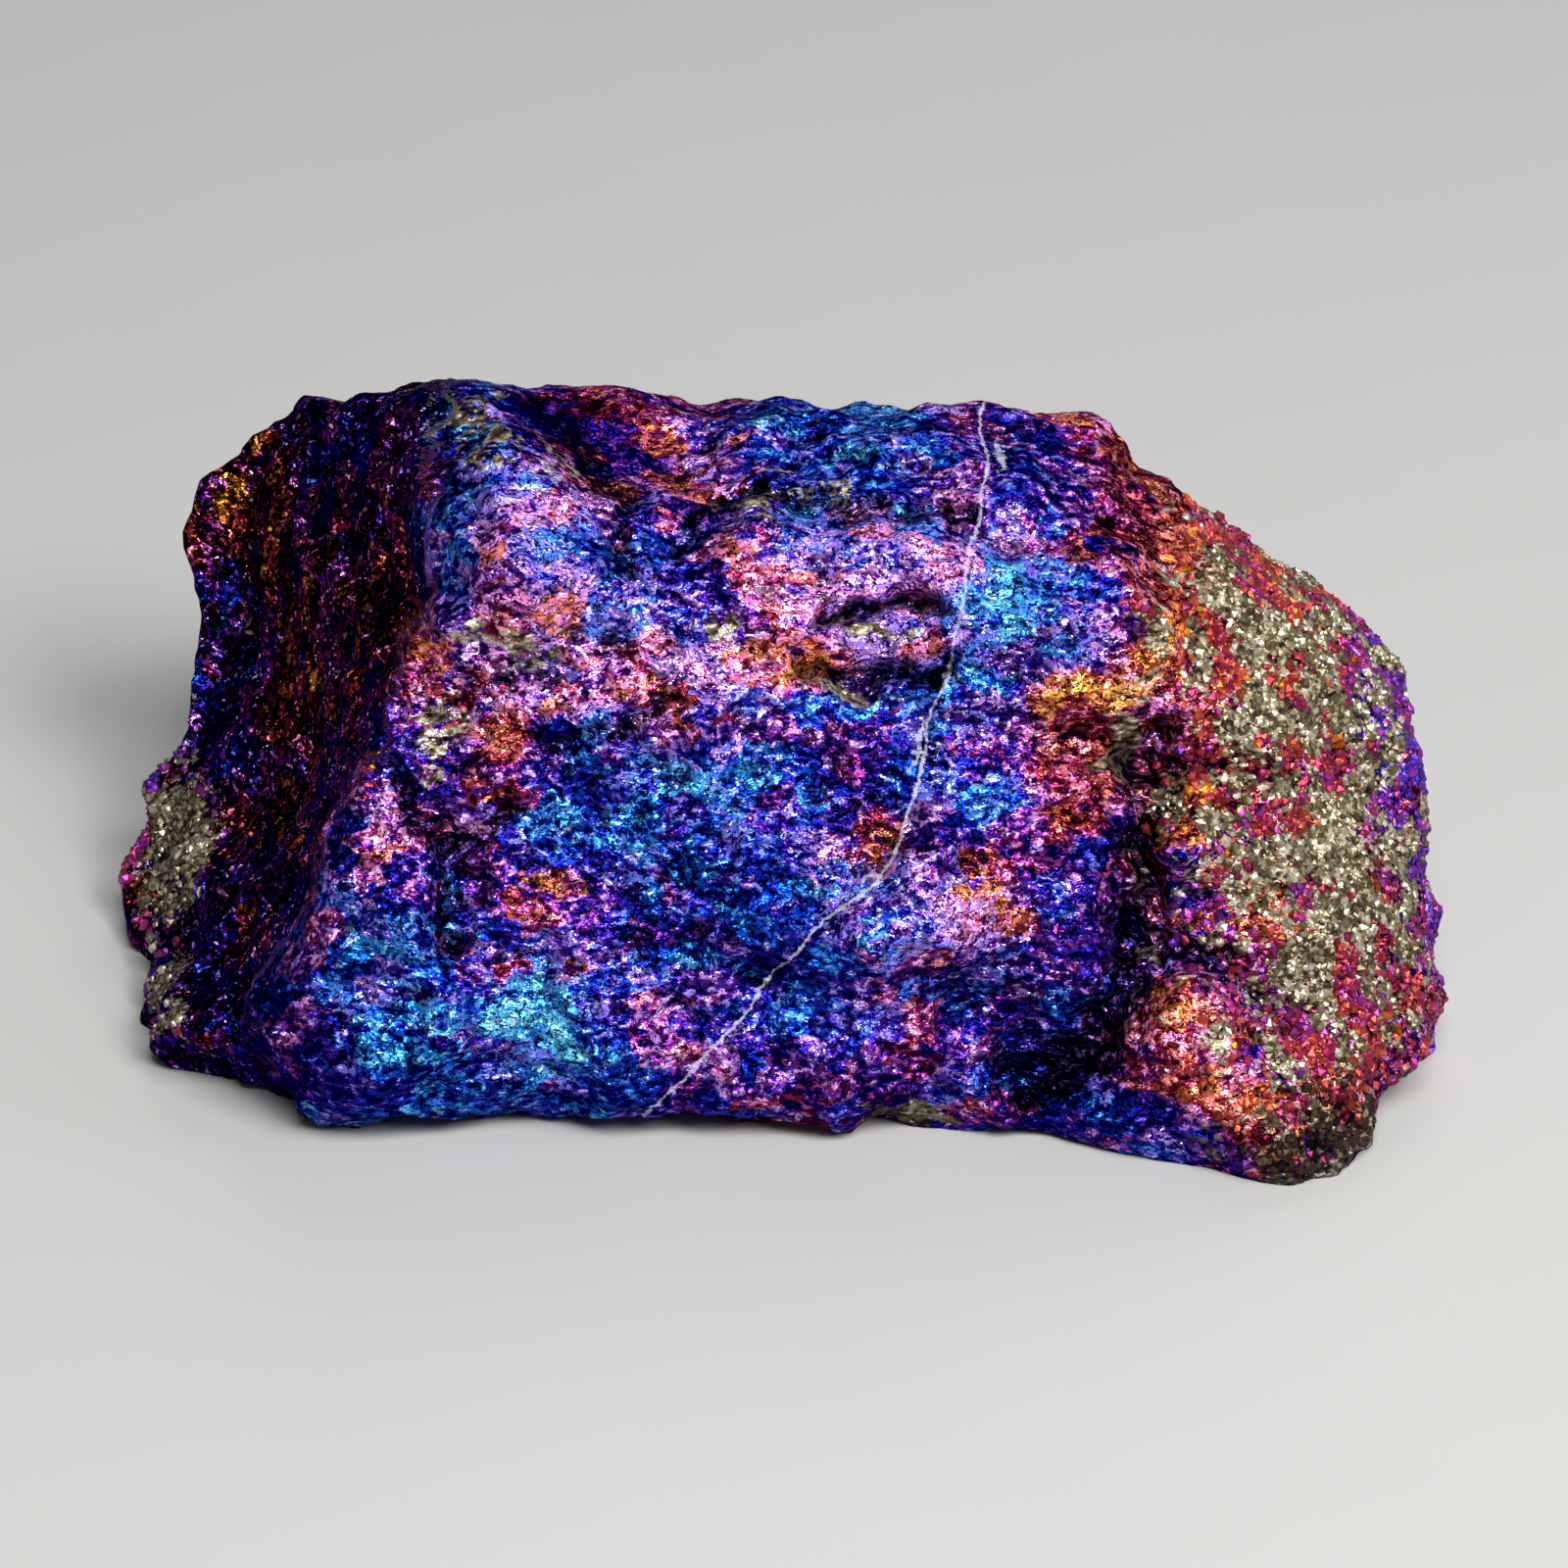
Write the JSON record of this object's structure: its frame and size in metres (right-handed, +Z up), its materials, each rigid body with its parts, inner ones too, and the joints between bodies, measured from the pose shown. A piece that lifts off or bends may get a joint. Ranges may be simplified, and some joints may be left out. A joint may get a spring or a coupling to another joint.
{
  "type": "peacock ore specimen",
  "caption": "Broken lump of peacock ore: tarnished bornite in blue, violet and pink with a grainy brassy end, lying on a level underside.",
  "frame": {"origin": "middle of the box on the resting surface, under the lump", "axes": "+X along the length, to the right of the broad front face; +Y away from the front, towards the back; +Z up"},
  "size_m": [0.0768, 0.0424, 0.0351],
  "materials": {
    "tarnished_ore": "metallic tarnish in blue, violet, pink and gold over broken sulphide ore, with bare brassy grains"
  },
  "bodies": {
    "root": {"ore_lump": "tarnished_ore"}
  },
  "joints": []
}
